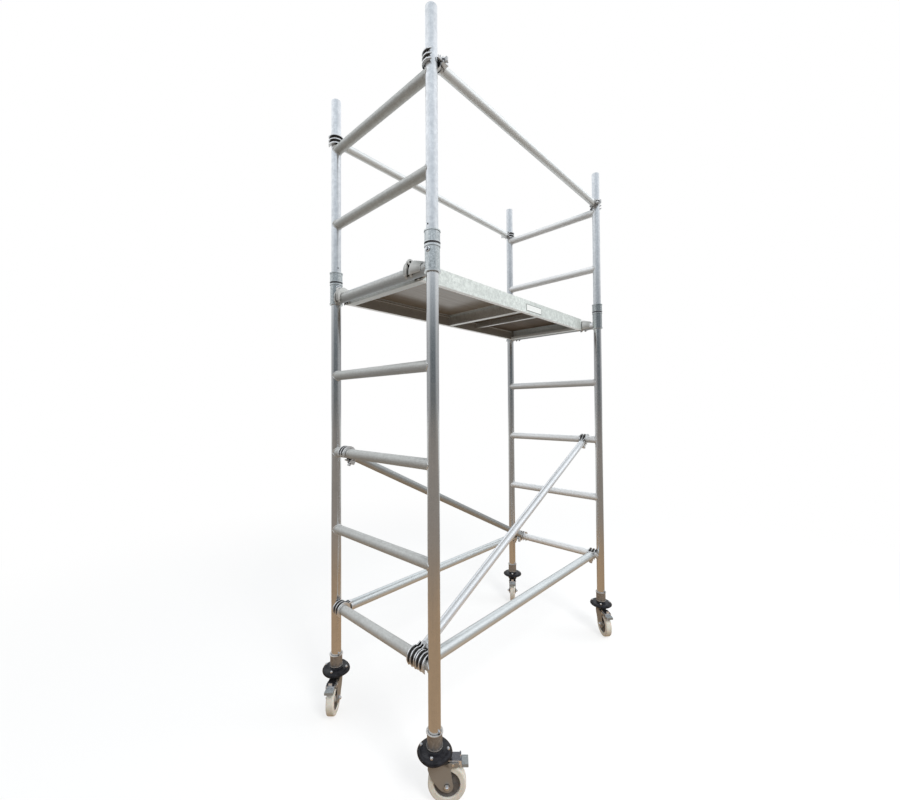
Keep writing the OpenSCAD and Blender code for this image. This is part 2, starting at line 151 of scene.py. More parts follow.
class Mat(Nodes):
    """A procedural material under construction."""

    def __init__(self, name):
        self.mat = bpy.data.materials.new(name)
        self.mat.use_nodes = True
        super().__init__(self.mat.node_tree)
        self.shader = self.tree.nodes["Principled BSDF"]
        self.coords = self.node("ShaderNodeTexCoord").outputs["Object"]

    def up(self):
        """1 on a face that looks up, -1 on one that looks down."""
        return self.xyz(self.node("ShaderNodeNewGeometry").outputs["Normal"])["Z"]

    def scaled(self, s):
        """The object's own coordinates in metres, times one number or three."""
        m = self.node("ShaderNodeMapping")
        self.link(self.coords, m.inputs["Vector"])
        m.inputs["Scale"].default_value = s if hasattr(s, "__len__") else (s, s, s)
        return m.outputs["Vector"]

    def noise(self, scale, detail=3.0, rough=0.55, distort=0.0):
        x = self.node("ShaderNodeTexNoise")
        self.link(self.scaled(scale), x.inputs["Vector"])
        x.inputs["Scale"].default_value = 1.0
        x.inputs["Detail"].default_value = detail
        x.inputs["Roughness"].default_value = rough
        x.inputs["Distortion"].default_value = distort
        return x.outputs["Fac"]

    def voronoi(self, scale):
        x = self.node("ShaderNodeTexVoronoi")
        self.link(self.scaled(scale), x.inputs["Vector"])
        x.inputs["Scale"].default_value = 1.0
        return x.outputs["Distance"]

    def bump(self, height, strength, distance, normal=None):
        b = self.node("ShaderNodeBump")
        b.inputs["Strength"].default_value = strength
        b.inputs["Distance"].default_value = distance
        self.link(height, b.inputs["Height"])
        if normal is not None:
            self.link(normal, b.inputs["Normal"])
        return b.outputs["Normal"]

    def edges(self, radius):
        """The normal with its edges rounded by radius."""
        b = self.node("ShaderNodeBevel")
        b.samples = 4
        b.inputs["Radius"].default_value = radius
        return b.outputs["Normal"]

    def set(self, **kw):
        """Sets or links the shader's own sockets, and returns the material."""
        names = {"color": "Base Color", "metal": "Metallic", "rough": "Roughness",
                 "normal": "Normal", "coat": "Coat Weight", "coat_rough": "Coat Roughness",
                 "ior": "IOR", "spec": "Specular IOR Level", "sss": "Subsurface Weight",
                 "sss_scale": "Subsurface Scale"}
        for k, v in kw.items():
            s = self.shader.inputs[names[k]]
            if hasattr(v, "is_linked"):
                self.link(v, s)
            elif hasattr(v, "__len__"):
                s.default_value = (*v, 1.0)[:4]
            else:
                s.default_value = v
        return self.mat

    def hollow(self, dist, a, b):
        """1 deep in a hollow, 0 on an open face."""
        x = self.node("ShaderNodeAmbientOcclusion")
        x.samples = 8
        x.inputs["Distance"].default_value = dist
        return self.map(x.outputs["AO"], a, b, 0.0, 1.0)

    def pointy(self, a, b):
        """0 to 1 from pointiness a to b; convex edges are above 0.5 and grooves below."""
        g = self.node("ShaderNodeNewGeometry")
        return self.map(g.outputs["Pointiness"], a, b, 0.0, 1.0)


def drawn_metal(name, axis, base, dark, metal=1.0, rough=0.28, blotch=0.5, lines=1.0,
                blotch_scale=38.0, edge=0.0, rim=None, far=None, far_axis="X",
                under=None, inner=None):
    """Drawn or extruded metal: fine lines along one axis, soft blotches, a few scuffs.

    base, dark: colours of the clean and of the dull metal.
    rim: colour of the edges, partly wear and partly a painted highlight; with it, narrow
    grooves get painted shade in a dark tone.
    far: base, dark and metal of the half that lies on the plus side of far_axis, a copy of the
    metal painted lighter or darker for the light on that half.
    under: colour, metal and the two heights of the normal between which it sets in: painted
    light and shade on the faces that look down.
    inner: colour of the painted shade on the faces within the platform's side beams.
    """
    q = Mat(name)

    def drawn_out(across, along):
        return [along if letter == axis else across for letter in "XYZ"]

    long_noise = q.noise(drawn_out(620.0, 5.0), 2.0, 0.6)
    streak = q.noise(drawn_out(150.0, 2.2), 2.0, 0.5)
    patch = q.noise(blotch_scale, 4.0, 0.62, 0.6)
    big = q.noise(5.5, 2.0, 0.5)
    f = q.map(patch, 0.32, 0.68, 0.0, blotch)
    f = q.math("ADD", f, q.map(streak, 0.35, 0.65, 0.0, 0.35 * lines))
    f = q.math("ADD", f, q.map(big, 0.3, 0.7, 0.0, 0.25), clamp=True)
    color = q.mix(f, base, dark)
    # Painted light and shade: the half on the plus side of far_axis gets its own lighter or
    # darker copy of the metal.
    if far:
        along = q.xyz(q.coords)[far_axis]
        color = q.mix(q.map(along, -0.2, 0.2, 0.0, 1.0), color, q.mix(f, far[0], far[1]))
        metal = q.map(along, -0.2, 0.2, metal, far[2])
    # Painted shade on the faces within the platform's side beams.
    if inner:
        across = q.xyz(q.coords)["Y"]
        front, back = (corner[1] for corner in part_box("platform_beams"))
        beam_inside_shade = q.math("MULTIPLY", q.map(across, front + 0.003, front + 0.008, 0.0, 1.0),
                        q.map(across, back - 0.008, back - 0.003, 1.0, 0.0))
        color = q.mix(q.math("MULTIPLY", beam_inside_shade, 0.85), color, inner)
    # Faces that look down get painted light and shade in their own colour and metalness.
    if under:
        up = q.up()
        a, b = under[2:]
        color = q.mix(q.map(up, a, b, 0.0, 1.0), color, under[0])
        if under[1] is not None:
            metal = q.map(up, a, b, metal, under[1])
    # Edges in the rim colour, partly wear and partly a painted highlight; narrow grooves
    # darkened as painted shade, found by ambient occlusion.
    if rim:
        color = q.mix(q.pointy(0.53, 0.62), color, rim)
        color = q.mix(q.hollow(0.007, 0.80, 0.42), color, tuple(0.12 * v for v in dark))
    r = q.math("ADD", q.map(patch, 0.3, 0.7, rough - 0.03, rough + 0.04),
               q.map(streak, 0.3, 0.7, 0.0, 0.03))
    scuffs = q.map(q.voronoi(drawn_out(90.0, 14.0)), 0.03, 0.0, 0.0, 0.05)
    r = q.math("ADD", r, scuffs)
    h = q.math("ADD", q.math("MULTIPLY", long_noise, 0.5), q.math("MULTIPLY", patch, 0.5))
    normal = q.bump(h, 0.022 * lines + 0.012, 0.0005, q.edges(edge) if edge else None)
    return q.set(color=color, metal=metal, rough=r, normal=normal)


def cast_metal(name, base, dark, edge_wear_and_highlight, metal=0.9, rough=0.36, grain=900.0, edge=0.0009,
               pit_shade_reach=0.0, pit_shade_color=(0.02, 0.02, 0.02)):
    """Sand-cast metal: grainy skin, painted shade in the grooves and narrow gaps, and edges
    lighter, partly wear and partly a painted highlight.

    edge: how far the shading rounds the edges.
    pit: how narrow a gap is to be filled with pit_shade_color as painted shade.
    """
    q = Mat(name)
    grain_n = q.noise(grain, 3.0, 0.6)
    patch = q.noise(60.0, 4.0, 0.6, 0.4)
    c = q.mix(q.map(patch, 0.3, 0.7, 0.0, 0.7), base, dark)
    # Convex edges lighter: partly wear, partly a painted highlight.
    c = q.mix(q.pointy(0.505, 0.56), c, edge_wear_and_highlight)
    # Grooves darkened as painted shade.
    c = q.mix(q.pointy(0.49, 0.44), c, dark)
    # Narrow gaps filled with painted shade, found by ambient occlusion.
    if pit_shade_reach:
        c = q.mix(q.hollow(pit_shade_reach, 0.74, 0.36), c, pit_shade_color)
    r = q.map(patch, 0.3, 0.7, rough - 0.06, rough + 0.12)
    normal = q.bump(q.math("ADD", q.math("MULTIPLY", grain_n, 0.6), patch), 0.12, 0.0005,
                    q.edges(edge))
    return q.set(color=c, metal=metal, rough=r, normal=normal)


M = {}
M["upper_leg"] = drawn_metal("upright_upper", "Z", (0.92, 0.94, 0.96), (0.72, 0.745, 0.77),
                             rough=0.34, blotch=0.9, lines=0.6, blotch_scale=60.0)
M["leg"] = drawn_metal("upright_base", "Z", (0.84, 0.845, 0.85), (0.70, 0.705, 0.71),
                       rough=0.20, blotch=0.3, lines=0.7, blotch_scale=40.0)
# Rungs: the far half is painted lighter, and faces that look down get a cool painted shade.
M["rung"] = drawn_metal("rung_tube", "Y", (0.66, 0.67, 0.655), (0.53, 0.535, 0.52),
                        metal=0.5, rough=0.48, blotch=0.7, lines=0.6, blotch_scale=70.0,
                        far=((0.95, 0.96, 0.97), (0.82, 0.84, 0.85), 0.5),
                        under=((0.52, 0.585, 0.64), None, -0.1, -0.9))
# Upper rungs: the far half is painted lighter.
M["rung_up"] = drawn_metal("rung_tube_upper", "Y", (0.70, 0.71, 0.69), (0.56, 0.57, 0.55),
                           metal=0.5, rough=0.42, blotch=0.7, lines=0.6, blotch_scale=70.0,
                           far=((0.98, 0.99, 1.0), (0.86, 0.88, 0.89), 0.35))
M["brace"] = drawn_metal("brace_tube", "X", (0.76, 0.80, 0.81), (0.64, 0.68, 0.69),
                         metal=0.75, rough=0.30, blotch=0.3, lines=0.6, blotch_scale=45.0)
# Diagonals: the back one is painted darker as shade.
M["diagonal"] = drawn_metal("diagonal_tube", "X", (0.90, 0.92, 0.95), (0.80, 0.83, 0.86),
                            metal=0.70, rough=0.30, blotch=0.3, lines=0.3,
                            blotch_scale=35.0, far_axis="Y",
                            far=((0.46, 0.475, 0.475), (0.38, 0.395, 0.395), 0.80))
M["rail"] = drawn_metal("guard_rail_tube", "X", (0.90, 0.92, 0.92), (0.80, 0.82, 0.82),
                        metal=0.7, rough=0.36, blotch=0.3, lines=0.1, blotch_scale=30.0)
# Sleeves and foot cups: edges in the rim colour, partly wear and partly a painted highlight,
# with painted shade in their narrow grooves.
M["sleeve"] = drawn_metal("zinc_sleeve", "Z", (0.81, 0.84, 0.845), (0.44, 0.47, 0.475),
                          rough=0.21, blotch=0.75, lines=0.9, blotch_scale=110.0,
                          edge=0.001, rim=(0.74, 0.765, 0.77))
M["cup"] = drawn_metal("foot_cup_zinc", "Z", (0.48, 0.47, 0.46), (0.29, 0.28, 0.27),
                       metal=0.8, rough=0.38, blotch=1.0, lines=0.3, blotch_scale=110.0,
                       edge=0.001, rim=(0.78, 0.76, 0.73))
# Platform beams: faces that look down are painted light and fully metallic, and faces within
# the channel get warm painted shade.
M["beam"] = drawn_metal("platform_extrusion", "X", (0.80, 0.845, 0.82), (0.56, 0.60, 0.58),
                        metal=0.35, rough=0.46, blotch=1.0, lines=0.4, blotch_scale=62.0,
                        edge=0.0008, under=((0.95, 0.96, 0.96), 1.0, -0.6, -0.9),
                        inner=(0.30, 0.262, 0.225))
M["cross"] = drawn_metal("platform_cross", "Y", (0.80, 0.82, 0.81), (0.60, 0.61, 0.60),
                         metal=0.85, rough=0.34, blotch=0.8, lines=0.5, blotch_scale=50.0,
                         edge=0.0008)
# End members: a copy of the platform metal painted almost white and barely metallic, as painted
# light on their shaded web; faces that look down get a cooler painted shade.
M["end"] = drawn_metal("platform_end", "Y", (0.92, 0.97, 0.98), (0.74, 0.79, 0.81),
                       metal=0.10, rough=0.34, blotch=0.8, lines=0.5, blotch_scale=50.0,
                       edge=0.0008, under=((0.76, 0.83, 0.86), None, -0.5, -0.9))
# Cast and plated parts: edges lighter, partly wear and partly a painted highlight; grooves and
# narrow gaps darkened as painted shade.
M["cast"] = cast_metal("cast_claw", (0.50, 0.50, 0.49), (0.16, 0.15, 0.145),
                       (0.86, 0.87, 0.88), rough=0.34, pit_shade_reach=0.014)
M["hook"] = cast_metal("cast_hook", (0.25, 0.255, 0.235), (0.15, 0.15, 0.135),
                       (0.68, 0.68, 0.66), metal=0.6, rough=0.45, pit_shade_reach=0.016,
                       pit_shade_color=(0.06, 0.055, 0.05))
M["zinc"] = cast_metal("zinc_plate", (0.70, 0.73, 0.78), (0.46, 0.49, 0.54),
                       (0.92, 0.94, 0.97), metal=1.0, rough=0.24, grain=400.0, edge=0.0006,
                       pit_shade_reach=0.006, pit_shade_color=(0.10, 0.10, 0.11))
M["fork"] = cast_metal("passivated_steel", (0.185, 0.172, 0.155), (0.12, 0.112, 0.10),
                       (0.34, 0.325, 0.30), metal=0.55, rough=0.40, grain=500.0,
                       edge=0.0008, pit_shade_reach=0.02, pit_shade_color=(0.03, 0.026, 0.022))
M["trigger"] = cast_metal("trigger_steel", (0.34, 0.34, 0.34), (0.16, 0.155, 0.15),
                          (0.62, 0.62, 0.62), rough=0.34, grain=500.0, edge=0.0008,
                          pit_shade_reach=0.010)


def black_gloss():
    """Black paint on a cast wheel, greyer where it sticks out."""
    q = Mat("handwheel_black")
    patch = q.noise(45.0, 4.0, 0.6)
    c = q.mix(q.map(patch, 0.35, 0.7, 0.0, 1.0), (0.008, 0.008, 0.010), (0.022, 0.022, 0.027))
    c = q.mix(q.pointy(0.53, 0.60), c, (0.06, 0.06, 0.065))
    r = q.map(patch, 0.3, 0.7, 0.20, 0.34)
    return q.set(color=c, rough=r, normal=q.bump(q.noise(260.0, 2.0), 0.05, 0.0005),
                 spec=0.22)


def nylon():
    """Cream nylon with dirty patches and specks."""
    q = Mat("wheel_nylon")
    patch = q.noise(32.0, 4.0, 0.6, 0.5)
    fine = q.noise(420.0, 2.0, 0.6)
    c = q.mix(q.map(patch, 0.38, 0.72, 0.0, 0.8), (0.70, 0.68, 0.62), (0.56, 0.53, 0.46))
    c = q.mix(q.map(fine, 0.62, 0.75, 0.0, 0.35), c, (0.34, 0.31, 0.26))
    r = q.map(patch, 0.3, 0.7, 0.38, 0.58)
    return q.set(color=c, rough=r, normal=q.bump(fine, 0.12, 0.0006), sss=0.08,
                 sss_scale=0.01)


def dark_core():
    """Dark moulded plastic with a fine grain."""
    q = Mat("wheel_core")
    patch = q.noise(60.0, 3.0, 0.6)
    c = q.mix(q.map(patch, 0.35, 0.7, 0.0, 1.0), (0.085, 0.080, 0.078), (0.13, 0.122, 0.115))
    return q.set(color=c, rough=q.map(patch, 0.3, 0.7, 0.42, 0.6),
                 normal=q.bump(q.noise(500.0), 0.15, 0.0005))


def grey_pad():
    """Grey moulding with a fine grain."""
    q = Mat("pedal_pad")
    patch = q.noise(80.0, 3.0, 0.6)
    c = q.mix(q.map(patch, 0.35, 0.7, 0.0, 1.0), (0.27, 0.29, 0.295), (0.36, 0.38, 0.385))
    return q.set(color=c, metal=0.4, rough=q.map(patch, 0.3, 0.7, 0.36, 0.5),
                 normal=q.bump(q.noise(700.0), 0.2, 0.0004))


def plywood(name, base, dark, rough, coat, coat_rough=0.35):
    """Varnished plywood with its grain and pores along X."""
    q = Mat(name)
    grain = q.noise([3.2, 95.0, 95.0], 5.0, 0.62, 1.2)
    wide = q.noise([1.2, 14.0, 14.0], 3.0, 0.5, 0.8)
    pore = q.noise([22.0, 900.0, 900.0], 2.0, 0.6)
    f = q.math("ADD", q.map(grain, 0.34, 0.66, 0.0, 0.6), q.map(wide, 0.3, 0.7, 0.0, 0.4),
               clamp=True)
    c = q.mix(f, base, dark)
    c = q.mix(q.map(pore, 0.60, 0.74, 0.0, 0.5), c, tuple(0.5 * v for v in dark))
    r = q.map(grain, 0.3, 0.7, rough, rough + 0.18)
    return q.set(color=c, rough=r, normal=q.bump(q.math("ADD", grain, pore), 0.12, 0.0006),
                 coat=coat, coat_rough=coat_rough)


def pedal_metal():
    """Zinc plate, lighter on its convex edges and darker on the faces that look up."""
    q = Mat("pedal_zinc")
    patch = q.noise(60.0, 4.0, 0.6, 0.4)
    c = q.mix(q.map(patch, 0.3, 0.7, 0.0, 0.7), (0.72, 0.74, 0.78), (0.50, 0.52, 0.56))
    c = q.mix(q.pointy(0.52, 0.58), c, (0.95, 0.96, 1.0))
    c = q.mix(q.map(q.up(), 0.5, 0.9, 0.0, 0.9), c, (0.05, 0.05, 0.06))
    return q.set(color=c, metal=0.9, rough=q.map(patch, 0.3, 0.7, 0.22, 0.34),
                 normal=q.bump(patch, 0.05, 0.0004, q.edges(0.0008)))


def label_white():
    """Blank light grey plate with a thin dark line round it."""
    q = Mat("label_blank")
    patch = q.noise(120.0, 3.0, 0.6)
    c = q.mix(q.map(patch, 0.4, 0.7, 0.0, 1.0), (0.74, 0.76, 0.75), (0.64, 0.66, 0.65))
    lo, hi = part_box("label_plate")
    xyz = q.xyz(q.coords)
    border = []
    for i, letter in ((0, "X"), (2, "Z")):
        mid, half = (lo[i] + hi[i]) / 2, (hi[i] - lo[i]) / 2
        d = q.math("ABSOLUTE", q.math("SUBTRACT", xyz[letter], mid))
        border.append(q.map(d, half - 0.0035, half - 0.0025, 0.0, 1.0))
    line = q.math("MAXIMUM", border[0], border[1])
    c = q.mix(line, c, (0.16, 0.17, 0.17))
    return q.set(color=c, rough=q.map(patch, 0.3, 0.7, 0.4, 0.55),
                 normal=q.bump(patch, 0.05, 0.0004))


M["black"] = black_gloss()
M["nylon"] = nylon()
M["core"] = dark_core()
M["pad"] = grey_pad()
M["ply"] = plywood("deck_plywood", (0.15, 0.11, 0.075), (0.08, 0.058, 0.038), rough=0.5,
                   coat=0.0)
M["ply_hatch"] = plywood("hatch_plywood", (0.27, 0.215, 0.155), (0.16, 0.12, 0.08),
                         rough=0.26, coat=0.6, coat_rough=0.16)
M["label"] = label_white()
M["pedal"] = pedal_metal()

LOOKS = {
    "base_legs": "leg", "base_rungs": "rung", "joint_sleeves": "sleeve",
    "upper_legs": "upper_leg", "upper_rungs": "rung_up", "spigots": "leg",
    "lock_buttons": "zinc", "foot_cups": "cup", "guard_rails": "rail",
    "horizontal_braces": "brace", "diagonal_braces": "diagonal", "brace_claws": "cast",
    "guard_claws": "cast", "platform_beams": "beam", "platform_ends": "end",
    "platform_cross_members": "cross", "deck_panel": "ply", "platform_hooks": "hook",
    "hatch_hinge": "zinc", "label_plate": "label", "hatch_frame": "cross",
    "hatch_panel": "ply_hatch", "hatch_latch": "trigger",
}
for i in range(1, 7):
    for s in "lr":
        LOOKS[f"trigger_{i}{s}"] = "trigger"
for k in KEYS:
    LOOKS.update({"stem_" + k: "zinc", "handwheel_" + k: "black", "fork_" + k: "fork",
                  "axle_" + k: "zinc", "wheel_" + k: "nylon", "pedal_" + k: "pedal"})
for name, obj in NODES.items():
    obj.data.materials.clear()
    obj.data.materials.append(M[LOOKS[name]])
    for poly in obj.data.polygons:
        poly.material_index = 0


# ---------------------------------------------------------------- mesh helpers
def add_piece(name, bm, body, mat, angle=40.0):
    """Makes one smooth-shaded piece that rides a body; sharper edges than angle stay hard."""
    me = bpy.data.meshes.new(name)
    bmesh.ops.recalc_face_normals(bm, faces=bm.faces)
    limit = math.radians(angle)
    for f in bm.faces:
        f.smooth = True
    for ed in bm.edges:
        if len(ed.link_faces) == 2 and ed.calc_face_angle() > limit:
            ed.smooth = False
    bm.to_mesh(me)
    bm.free()
    ob = bpy.data.objects.new(name, me)
    scene.collection.objects.link(ob)
    me.materials.append(M[mat])
    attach(ob, body)
    return ob


def loft(bm, rings, closed_path=False, caps=True):
    """Skins a list of equal rings of points."""
    rows = [[bm.verts.new(p) for p in ring] for ring in rings]
    n = len(rows[0])
    pairs = list(zip(rows, rows[1:]))
    if closed_path:
        pairs.append((rows[-1], rows[0]))
    for a, b in pairs:
        for i in range(n):
            j = (i + 1) % n
            bm.faces.new((a[i], a[j], b[j], b[i]))
    if caps and not closed_path:
        bm.faces.new(rows[0][::-1])
        bm.faces.new(rows[-1])


def lathe(bm, profile, mtx, seg=48):
    """Turns (r, h) points about the matrix's local Z; a closed profile when it repeats."""
    rows = []
    for i in range(seg):
        a = 2 * math.pi * i / seg
        rows.append([mtx @ Vector((r * math.cos(a), r * math.sin(a), h)) for r, h in profile])
    verts = [[bm.verts.new(p) for p in row] for row in rows]
    m = len(profile)
    for i in range(seg):
        a, b = verts[i], verts[(i + 1) % seg]
        for j in range(m - 1):
            bm.faces.new((a[j], b[j], b[j + 1], a[j + 1]))
    bmesh.ops.remove_doubles(bm, verts=bm.verts, dist=1e-6)


def sweep(bm, path, radius, seg=8, closed=True):
    """A round bead along a path; radius is a function of the step."""
    n = len(path)
    rings = []
    for i, p in enumerate(path):
        a = path[(i - 1) % n] if closed or i else path[0]
        b = path[(i + 1) % n] if closed or i < n - 1 else path[-1]
        t = (b - a).normalized()
        side = t.cross(Vector((0, 0, 1)))
        if side.length < 0.2:
            side = t.cross(Vector((0, 1, 0)))
        side.normalize()
        up = side.cross(t)
        r = radius(i)
        rings.append([p + side * (r * math.cos(2 * math.pi * k / seg))
                      + up * (r * math.sin(2 * math.pi * k / seg)) for k in range(seg)])
    loft(bm, rings, closed_path=closed)


def frame_matrix(origin, z_axis, x_hint=(0, 0, 1)):
    """A matrix at origin whose Z looks along z_axis and whose X leans to x_hint."""
    z = Vector(z_axis).normalized()
    x = Vector(x_hint)
    x = (x - z * x.dot(z))
    if x.length < 1e-3:
        x = Vector((1, 0, 0)) - z * z.x
    x.normalize()
    y = z.cross(x)
    return Matrix.Translation(Vector(origin)) @ Matrix((x, y, z)).transposed().to_4x4()


# ---------------------------------------------------------------- weld beads
def weld(bm, sx, sy, z, post_r):
    """Rippled fillet where a rung meets an upright or its sleeve."""
    n = 72
    y_leg = sy * LY
    pts = []
    for i in range(n):
        a = 2 * math.pi * i / n
        x = (RUNG_R + 0.0006) * math.cos(a)
        dz = (RUNG_R + 0.0006) * math.sin(a)
        dy = math.sqrt(max(post_r ** 2 - x * x, 0.0))
        pts.append(Vector((sx * LX + x, y_leg - sy * (dy + 0.0008), z + dz)))
    sweep(bm, pts, lambda i: 0.0026 + 0.0004 * (i % 2) + 0.0003 * math.sin(i * 1.7), 7)


beads = bmesh.new()
for sx in (-1, 1):
    for sy in (-1, 1):
        for i in range(7):
            weld(beads, sx, sy, RUNG1_Z + i * PITCH, 0.031 if i == 4 else LEG_R)
# Weld beads: edges lighter, partly wear and partly a painted highlight; the ripples' grooves
# darkened as painted shade.
M["bead"] = cast_metal("weld_bead", (0.66, 0.66, 0.64), (0.44, 0.43, 0.41),
                       (0.80, 0.80, 0.79), metal=0.8, rough=0.4, grain=700.0, edge=0.0004)
add_piece("weld_beads", beads, "tower", "bead", angle=80)


# ---------------------------------------------------------------- castors
def castor_matrix(k):
    """Castor k's own frame: on the floor under its leg, X along its trail."""
    x, y, a = CASTOR[k]
    return Matrix.Translation((x, y, 0)) @ Matrix.Rotation(math.radians(a), 4, "Z")


def dome_nut(bm, mtx, corner_r=0.0085, height=0.006, dome_r=0.0062):
    """Hexagon nut with a domed cap, on local Z."""
    hexes = []
    for z, s in ((0, 0.96), (0.0006, 1.0), (height - 0.0008, 1.0), (height, 0.93)):
        hexes.append([mtx @ Vector((s * corner_r * math.cos(math.pi / 3 * i),
                                    s * corner_r * math.sin(math.pi / 3 * i), z))
                      for i in range(6)])
    loft(bm, hexes)
    dome = [(dome_r, height - 0.001)]
    for i in range(9):
        a = math.pi / 2 * i / 8
        dome.append((dome_r * math.cos(a), height + dome_r * 0.95 * math.sin(a)))
    lathe(bm, dome, mtx, 20)


def handwheel(k):
    """Round adjusting nut with four soft lobes: thick rolled rim, raised hub ring."""
    z0, z1 = (corner[2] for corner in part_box("handwheel_" + k))
    h = z1 - z0
    bore, outline, lobe_out, lobe_up, nut_ring = 0.0182, 0.0685, 0.0024, 0.0034, 0.0545
    seg = 128
    mtx = castor_matrix(k)
    turn = math.radians(NUT_TURN[k])

    def lobe(a):
        return (0.5 + 0.5 * math.cos(4 * (a - turn))) ** 1.3

    # ("r" for a fixed radius or "f" for a fraction of the outline's, that radius or fraction,
    #  height, share of the lobe's swell)
    prof = [("r", bore, h, 0), ("r", 0.0262, h, 0), ("r", 0.0276, h - 0.0008, 0),
            ("r", 0.0284, h - 0.003, 0), ("r", 0.0292, h - 0.0062, 0),
            ("r", 0.0325, h - 0.0090, 0), ("f", 0.54, h - 0.0104, 0.5),
            ("f", 0.64, h - 0.0106, 1.0), ("f", 0.74, h - 0.0104, 1.2),
            ("f", 0.83, h - 0.0108, 1.1), ("f", 0.90, h - 0.0124, 0.8),
            ("f", 0.95, h - 0.0150, 0.4), ("f", 0.985, h - 0.0186, 0.1),
            ("f", 1.0, h - 0.0225, 0), ("f", 0.99, h - 0.0258, 0),
            ("f", 0.96, h - 0.0284, 0), ("f", 0.91, h - 0.0300, 0),
            ("f", 0.85, h - 0.0290, 0), ("f", 0.80, h - 0.0250, 0),
            ("r", 0.032, h - 0.0240, 0), ("r", 0.029, h - 0.0270, 0),
            ("r", 0.0275, 0.0, 0), ("r", bore, 0.0, 0)]
    bm = bmesh.new()
    rows = []
    for i in range(seg):
        a = 2 * math.pi * i / seg
        w = lobe(a)
        ro = outline + lobe_out * w
        row = []
        for kind, r, z, swell in prof:
            rr = r if kind == "r" else r * ro
            zz = z + lobe_up * swell * w
            row.append(bm.verts.new(mtx @ Vector((rr * math.cos(a), rr * math.sin(a),
                                                  z0 + zz))))
        rows.append(row)
    m = len(prof)
    for i in range(seg):
        a, b = rows[i], rows[(i + 1) % seg]
        for j in range(m):
            j2 = (j + 1) % m
            bm.faces.new((a[j], b[j], b[j2], a[j2]))
    ob = add_piece("handwheel_casting_" + k, bm, "handwheel_" + k, "black",
                   angle=50)
    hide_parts("handwheel_" + k)
    nuts = bmesh.new()
    for q in range(4):
        a = turn + q * math.pi / 2
        p = mtx @ Vector((nut_ring * math.cos(a), nut_ring * math.sin(a), z0 + h - 0.0084))
        dome_nut(nuts, frame_matrix(p, (0, 0, 1), (math.cos(a), math.sin(a), 0)), 0.0068,
                 0.0055, 0.0056)
    add_piece("handwheel_nuts_" + k, nuts, "handwheel_" + k, "zinc", angle=35)


def stem(k):
    """Threaded stem, its bearing flange and kingpin."""
    x, y = CASTOR[k][:2]
    mtx = Matrix.Translation((x, y, 0))
    bottom, top = (corner[2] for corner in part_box("stem_" + k))
    flange = bottom + 0.023
    crest, root, pitch, seg = 0.018, 0.0166, 0.006, 40
    z0 = flange + 0.0065
    turns = int((top - z0) / pitch) - 1
    bm = bmesh.new()
    rows = []
    shape = ((0.0, root), (0.20, root), (0.42, crest), (0.78, crest))
    for i in range(turns * seg + 1):
        a = 2 * math.pi * i / seg
        base = z0 + pitch * i / seg
        fade = min(1.0, i / seg, (turns * seg - i) / seg)
        rows.append([bm.verts.new(mtx @ Vector((
            (root + (r - root) * fade) * math.cos(a), (root + (r - root) * fade) * math.sin(a),
            base + f * pitch))) for f, r in shape])
    for i in range(len(rows) - 1):
        a, b = rows[i], rows[i + 1]
        for j in range(3):
            bm.faces.new((a[j], b[j], b[j + 1], a[j + 1]))
        if i + seg + 1 < len(rows):
            c, d = rows[i + seg], rows[i + seg + 1]
            bm.faces.new((a[3], b[3], d[0], c[0]))
    lathe(bm, [(0.0, top), (0.0135, top), (0.0150, top - 0.0015), (root + 0.0002, top - 0.007),
               (root + 0.0002, z0 - 0.001), (0.0205, flange + 0.0062), (0.0285, flange + 0.006),
               (0.0310, flange + 0.0042), (0.0310, flange + 0.0006), (0.0302, flange),
               (0.008, flange), (0.008, bottom + 0.0068), (0.0, bottom + 0.0068)], mtx, 48)
    dome_nut(bm, mtx @ Matrix.Translation((0, 0, bottom + 0.0068))
             @ Matrix.Rotation(math.pi, 4, "X"), 0.0118, 0.0064, 0.0003)
    ob = add_piece("stem_thread_" + k, bm, "stem_" + k, "zinc", angle=32)
    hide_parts("stem_" + k)


def wheel_core(k):
    """Dark dished core with a bearing cap on both faces of the wheel."""
    mtx = castor_matrix(k) @ Matrix.Translation((TRAIL, 0, WHEEL_R))
    for s in (-1, 1):
        side = mtx @ Matrix.Rotation(-s * math.pi / 2, 4, "X")
        bm = bmesh.new()
        lathe(bm, [(0.0182, 0.0105), (0.0190, 0.0135), (0.0225, 0.0132), (0.0250, 0.0118),
                   (0.0390, 0.0112), (0.0440, 0.0122), (0.0472, 0.0148), (0.0488, 0.0150),
                   (0.0496, 0.0135), (0.0496, 0.0095), (0.0182, 0.0095), (0.0182, 0.0105)],
              side, 64)
        for q in range(8):
            a = 2 * math.pi * q / 8
            rib = side @ Matrix.Rotation(a, 4, "Z")
            rings = []
            for r, w, z in ((0.0225, 0.0011, 0.0142), (0.0330, 0.0010, 0.0128),
                            (0.0430, 0.0011, 0.0132), (0.0470, 0.0013, 0.0148)):
                rings.append([rib @ Vector(p) for p in ((r, -w, 0.0100), (r, w, 0.0100),
                                                        (r, w * 0.7, z), (r, -w * 0.7, z))])
            loft(bm, rings)
        add_piece(f"wheel_core_{k}_{'l' if s < 0 else 'r'}", bm, "wheel_" + k, "core",
                  angle=35)


